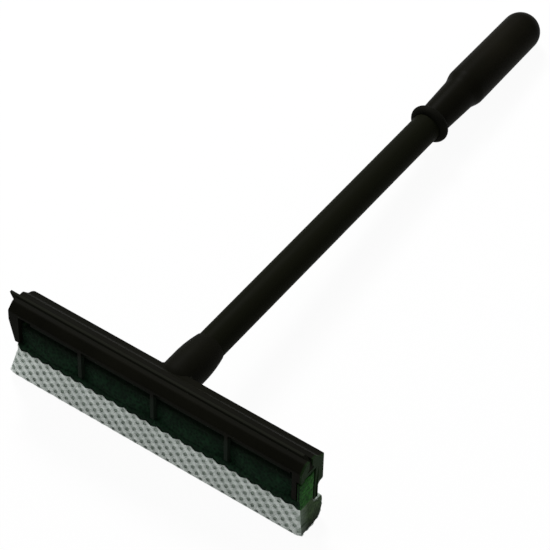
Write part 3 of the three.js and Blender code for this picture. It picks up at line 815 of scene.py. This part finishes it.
# %% [markdown]
# ## The knitted net
# The net is a knitted white mesh with slanted four-sided gaps, stretched round the pad and cut off
# level with its ends. Its gaps repeat on a skewed lattice, so it starts as a plain grid whose two
# directions become the lattice's two steps. Each square is inset and its middle removed, which leaves
# strands of an even width, and the gaps are then drawn narrow and tall, as a stretched knit has them.
# The valleys of the front edge are pulled in, so that it shows as scallops. The flat net is trimmed,
# led along the path round the pad, given thickness and smoothed. The path's bends are Bezier curves,
# with the handles that make a quarter circle.

# %% Path round the pad
NET_THICK = 0.95
NET_FRONT, NET_TOP = -24.9, -21.2
NET_TOE = -25.2
NET_BACK, NET_BACK_TOP = -1.5, -32.3
NET_TUCKED = -6.6
TOE_BEND, HEEL_BEND = 3, 10
BACK_BEND = 4
QUARTER_HANDLE = 0.5523
BEND_POINTS = 17
net_corners = [(NET_FRONT, NET_TOP, 0), (NET_TOE, PAD_LOW, TOE_BEND), (NET_BACK, PAD_LOW, HEEL_BEND),
               (NET_BACK, NET_BACK_TOP, BACK_BEND), (NET_TUCKED, NET_BACK_TOP, 0)]
trail = []
for number, (y, z, radius) in enumerate(net_corners):
    here = Vector((0, y, z))
    if radius == 0:
        trail.append(here)
        continue
    before = (Vector((0, *net_corners[number - 1][:2])) - here).normalized()
    after = (Vector((0, *net_corners[number + 1][:2])) - here).normalized()
    pull = radius * (1 - QUARTER_HANDLE)
    trail += geometry.interpolate_bezier(here + before * radius, here + before * pull,
                                         here + after * pull, here + after * radius, BEND_POINTS)
reach = [0.0]
for first, second in zip(trail, trail[1:]):
    reach.append(reach[-1] + (second - first).length)
NET_LENGTH = reach[-1]
print("the net is", round(NET_LENGTH, 1), "mm long round the pad")


def round_pad(distance, out):
    """A place on the net's path, moved out of its face."""
    distance = min(max(distance, 0), NET_LENGTH - SAME_PLACE)
    step = next(n for n in range(1, len(reach)) if reach[n] > distance)
    way = (trail[step] - trail[step - 1]).normalized()
    spot = trail[step - 1] + way * (distance - reach[step - 1])
    return spot + Vector((0, way.z, -way.y)) * out


# %% Flat net and its gaps
STRAND_HALF = 0.7
GAP_NARROW, GAP_TALL = 0.6, 1.2
CELLS_A, CELLS_B = 48, 72
TOP_PEAK, NOTCH = 0.3, 1.1
TOP_SPARE = 1
NET_START = Vector((0, EDGE_ROWS * STEP_B.y + TOP_PEAK))
knit = bmesh.new()
bmesh.ops.create_grid(knit, x_segments=CELLS_A, y_segments=CELLS_B, size=0.5)
for vert in knit.verts:
    flat = STEP_A * round(vert.co.x * CELLS_A) + STEP_B * round(vert.co.y * CELLS_B)
    vert.co = (*(flat + NET_START), 0)
spare = [face for face in knit.faces
         if not TOP_PEAK + TOP_SPARE < face.calc_center_median().y < NET_LENGTH + STEP_B.y
         or abs(face.calc_center_median().x) > FAR_SIDE]
bmesh.ops.delete(knit, geom=spare, context="FACES")
for vert in knit.verts:
    if round((vert.co.y - TOP_PEAK) / STEP_B.y) == 1:
        vert.co.y += NOTCH
gaps = knit.faces[:]
bmesh.ops.inset_individual(knit, faces=gaps, thickness=STRAND_HALF, use_even_offset=True)
for face in gaps:
    middle = face.calc_center_median()
    for vert in face.verts:
        away = vert.co - middle
        vert.co = middle + Vector((away.x * GAP_NARROW, away.y * GAP_TALL, 0))
bmesh.ops.delete(knit, geom=gaps, context="FACES_ONLY")
print("the flat net has", len(gaps), "gaps")

# %% [markdown]
# ## Two flat maps for the yarn
# The finish needs to know where a point lies on the flat net, before it is bent. One map gives plain
# places for the ribs of the yarn. The other counts the lattice's own steps, so that a cosine of it
# tells strands and crossings from gaps.

# %% Flat maps
YARN_SCALE = 0.1
yarn_map = knit.loops.layers.uv.new("yarn")
step_map = knit.loops.layers.uv.new("knit_steps")
to_steps = Matrix((STEP_A, STEP_B)).transposed().inverted()
for face in knit.faces:
    for loop in face.loops:
        loop[yarn_map].uv = loop.vert.co.xy * YARN_SCALE
        loop[step_map].uv = to_steps @ (loop.vert.co.xy - NET_START)
print("flat maps:", knit.loops.layers.uv.keys())

# %% Trimmed to its outline
def pad_end(side, z):
    """Half length of the pad at a height."""
    share = unit((z - WAIST_DROP) / (PAD_LOW - WAIST_DROP))
    return PAD_WAIST[side] + (PAD_HALF - PAD_WAIST[side]) * share


def trim(place, way):
    """Cuts off what lies past a plane."""
    bmesh.ops.bisect_plane(knit, geom=knit.verts[:] + knit.edges[:] + knit.faces[:],
                           plane_co=place, plane_no=way, clear_outer=True)


def shift_along(side, way):
    """Moves each level of the net by the pad's half length there, so that its end becomes straight."""
    for vert in knit.verts:
        vert.co.x += way * side * pad_end(side, round_pad(vert.co.y, 0).z)


for vert in knit.verts:
    vert.co.y += TOP_FALL * (vert.co.x + PAD_HALF)
trim((0, NET_LENGTH, 0), (0, 1, 0))
for side in PAD_WAIST:
    shift_along(side, -1)
    trim((0, 0, 0), (side, 0, 0))
    shift_along(side, 1)
print("the trimmed net has", len(knit.faces), "faces")

# %% Wrapped round the pad, with the raw ends tucked into the foam
SWAY, SWAY_SCALE = 0.4, 0.11
SWAY_OTHER = Vector((9, 4, 2))
TUCK, TUCK_LENGTH = 1.3, 3.0
for vert in knit.verts:
    spot = vert.co * SWAY_SCALE
    flat = vert.co + Vector((noise.noise(spot), noise.noise(spot + SWAY_OTHER), 0)) * SWAY
    side = LEFT if flat.x < 0 else RIGHT
    near = unit(1 - (pad_end(side, round_pad(flat.y, 0).z) - abs(flat.x)) / TUCK_LENGTH)
    spot = round_pad(flat.y, -NET_THICK / 2 - TUCK * near ** 2)
    vert.co = (flat.x, spot.y, spot.z)
bmesh.ops.recalc_face_normals(knit, faces=knit.faces[:])
net = as_object(knit, "knitted_net")
wall = net.modifiers.new("thickness", "SOLIDIFY")
wall.thickness = NET_THICK
wall.offset = 0
rounding = net.modifiers.new("rounding", "SUBSURF")
rounding.levels = rounding.render_levels = 1
bake(net)
print("the wrapped net has", len(net.data.polygons), "faces")

# %% [markdown]
# ## Yarn
# The net's strands are bundles of bright threads, so their surface is ribbed across, a little fuzzy
# and catches light softly at the edges. The ribs follow the net's flat map. Crossings and the steeper
# strands are painted paler and the strands darker towards the gaps, as painted highlight and shade: a
# cosine of the lattice's steps picks them out, with more weight on one direction, and noise adds
# uneven dirt. The net is pressed flat on the floor.

# %% Yarn finish, then the net is set down
STRAND_WEIGHTS = (1.4, 0.6, 0)
STRAND_SHADE_RANGE = (-1.2, 2.0)
SHADE_AND_DIRT_RANGE = (0.5, 1.6)
white_net, tree, shader = new_finish("white_net")
flat_map = add(tree, "ShaderNodeUVMap", uv_map="yarn")
ribs = add(tree, "ShaderNodeTexWave",
           [("Vector", flat_map.outputs["UV"]), ("Scale", 3.6), ("Distortion", 3.0),
            ("Detail", 2.0), ("Detail Scale", 3.0)], wave_type="BANDS", bands_direction="DIAGONAL")
place = add(tree, "ShaderNodeTexCoord")
dirt = add(tree, "ShaderNodeTexNoise",
           [("Vector", place.outputs["Object"]), ("Scale", 70.0), ("Detail", 5.0)])
steps = add(tree, "ShaderNodeUVMap", uv_map="knit_steps")
turns = add(tree, "ShaderNodeVectorMath", [(0, steps.outputs["UV"]), (1, (math.tau, math.tau, 0))],
            operation="MULTIPLY")
waves = add(tree, "ShaderNodeVectorMath", [(0, turns.outputs["Vector"])], operation="COSINE")
strands = add(tree, "ShaderNodeVectorMath", [(0, waves.outputs["Vector"]), (1, STRAND_WEIGHTS)],
              operation="DOT_PRODUCT")
# Painted highlight and shade: crossings and steep strands are paler, strands darker towards the gaps;
# noise adds dirt.
strand_shade = ramp(tree, strands.outputs["Value"], *STRAND_SHADE_RANGE)
shade_and_dirt = ramp(tree, calc(tree, "ADD", strand_shade, dirt.outputs["Fac"]), *SHADE_AND_DIRT_RANGE)
colour = mix_colours(tree, shade_and_dirt, srgb(176, 186, 179), srgb(230, 238, 232))
bump = add(tree, "ShaderNodeBump",
           [("Height", ribs.outputs["Fac"]), ("Distance", 0.0003), ("Strength", 0.7)])
tree.links.new(colour, shader.inputs["Base Color"])
tree.links.new(bump.outputs["Normal"], shader.inputs["Normal"])
shader.inputs["Roughness"].default_value = 0.75
shader.inputs["Sheen Weight"].default_value = 0.2
shader.inputs["Sheen Roughness"].default_value = 0.4
set_down(net, "tool", "sponge_net", white_net, sharp=SOFT_ANGLE)
for vert in net.data.vertices:
    vert.co.z = max(vert.co.z, 0.0)

# %% [markdown]
# ## The hidden backing strip
# A plain strip in the head's roof holds the foam's neck. It is never seen from outside, so the packed
# solid stays and only takes the plastic's finish.

# %% Backing strip
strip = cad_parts["backing_strip"]
strip.data.materials.clear()
strip.data.materials.append(head_plastic)
print("kept from the packed model:", strip.name)

# %% [markdown]
# ## Floor and light
# The picture has a plain white ground. The floor is nearly white and glows towards the camera, so it
# reads as white while it still takes a soft shadow and lights the tool from below. The main
# lamp stands behind at the left, so tops are bright and fronts lie in soft light; a second one at the
# upper front left and a weak one at the right lift the shade to a level where colours read as written.

# %% Floor
FLOOR_HALF = 6
FLOOR_GLOW = 0.95
white_floor, tree, shader = new_finish("white_floor")
tree.nodes.remove(shader)
rays = add(tree, "ShaderNodeLightPath")
seen = calc(tree, "MAXIMUM", rays.outputs["Is Camera Ray"], rays.outputs["Is Glossy Ray"])
seen_or_through = calc(tree, "MAXIMUM", seen, rays.outputs["Is Transmission Ray"])
ground = add(tree, "ShaderNodeBsdfDiffuse", [("Color", (0.9, 0.9, 0.9, 1))])
glow = add(tree, "ShaderNodeEmission", [("Color", (1, 1, 1, 1)), ("Strength", 1.0)])
both = add(tree, "ShaderNodeMixShader",
           [(0, calc(tree, "MULTIPLY", seen_or_through, FLOOR_GLOW)), (1, ground.outputs["BSDF"]),
            (2, glow.outputs["Emission"])])
tree.links.new(both.outputs["Shader"], tree.nodes["Material Output"].inputs["Surface"])
floor_shape = bmesh.new()
bmesh.ops.create_grid(floor_shape, x_segments=1, y_segments=1, size=FLOOR_HALF)
floor = as_object(floor_shape, "studio_floor")
floor.data.materials.append(white_floor)
print("the floor is", 2 * FLOOR_HALF, "m wide")

# %% World and lamps
SKY_LIGHT = 0.24
CENTRE = Vector((0, 0.16, 0.03))
scene = bpy.context.scene
scene.view_settings.view_transform = "Standard"
world = bpy.data.worlds.new("studio")
scene.world = world
world.use_nodes = True
sky = world.node_tree.nodes["Background"]
sky.inputs["Color"].default_value = (1, 1, 1, 1)
rays = add(world.node_tree, "ShaderNodeLightPath")
strength = add(world.node_tree, "ShaderNodeMapRange",
               [("Value", rays.outputs["Is Camera Ray"]), ("To Min", SKY_LIGHT), ("To Max", 1.0)])
world.node_tree.links.new(strength.outputs["Result"], sky.inputs["Strength"])


def lamp(name, spot, size, power):
    """A round soft lamp that is aimed at the middle of the tool."""
    light = bpy.data.lights.new(name, "AREA")
    light.shape = "DISK"
    light.size = size
    light.energy = power
    holder = bpy.data.objects.new(name, light)
    holder.location = spot
    holder.rotation_euler = (CENTRE - Vector(spot)).to_track_quat("-Z", "Y").to_euler()
    scene.collection.objects.link(holder)
    print(name, "gives", power, "W")


lamp("key_lamp", spot=(-1.1, 1.1, 1.5), size=0.6, power=40)
lamp("front_lamp", spot=(-0.67, -0.36, 1.84), size=0.45, power=7)
lamp("fill_lamp", spot=(1.3, -0.5, 0.9), size=1.2, power=3)

# %% [markdown]
# ## The camera
# The camera looks down at the tool from its front right, with a long lens. Its turn, rise and roll are
# angles in the tool's own frame, and its stand-off is measured along its own right, up and back from
# the middle of the head's back top edge, so the camera is tilted and moved as the pieces are.

# %% Camera at the picture's angle
SENSOR_WIDTH = 36
LENS = 197.837
CAMERA_TURN = 34.319
CAMERA_RISE = 47.004
CAMERA_ROLL = 1.638
STAND_OFF = Vector((55.092, 52.986, 1693.8))
look = (Matrix.Rotation(math.radians(CAMERA_TURN), 4, "Z")
        @ Matrix.Rotation(math.radians(90 - CAMERA_RISE), 4, "X")
        @ Matrix.Rotation(math.radians(CAMERA_ROLL), 4, "Z"))
view_place = lay_down @ (look @ STAND_OFF)
camera_data = bpy.data.cameras.new("camera")
camera_data.sensor_width = SENSOR_WIDTH
camera_data.lens = LENS
camera = bpy.data.objects.new("camera", camera_data)
camera.matrix_world = Matrix.Translation(view_place) @ tip_over @ look
scene.collection.objects.link(camera)
scene.camera = camera
print("camera stands at", [round(c, 3) for c in view_place], "with a lens of", LENS, "mm")
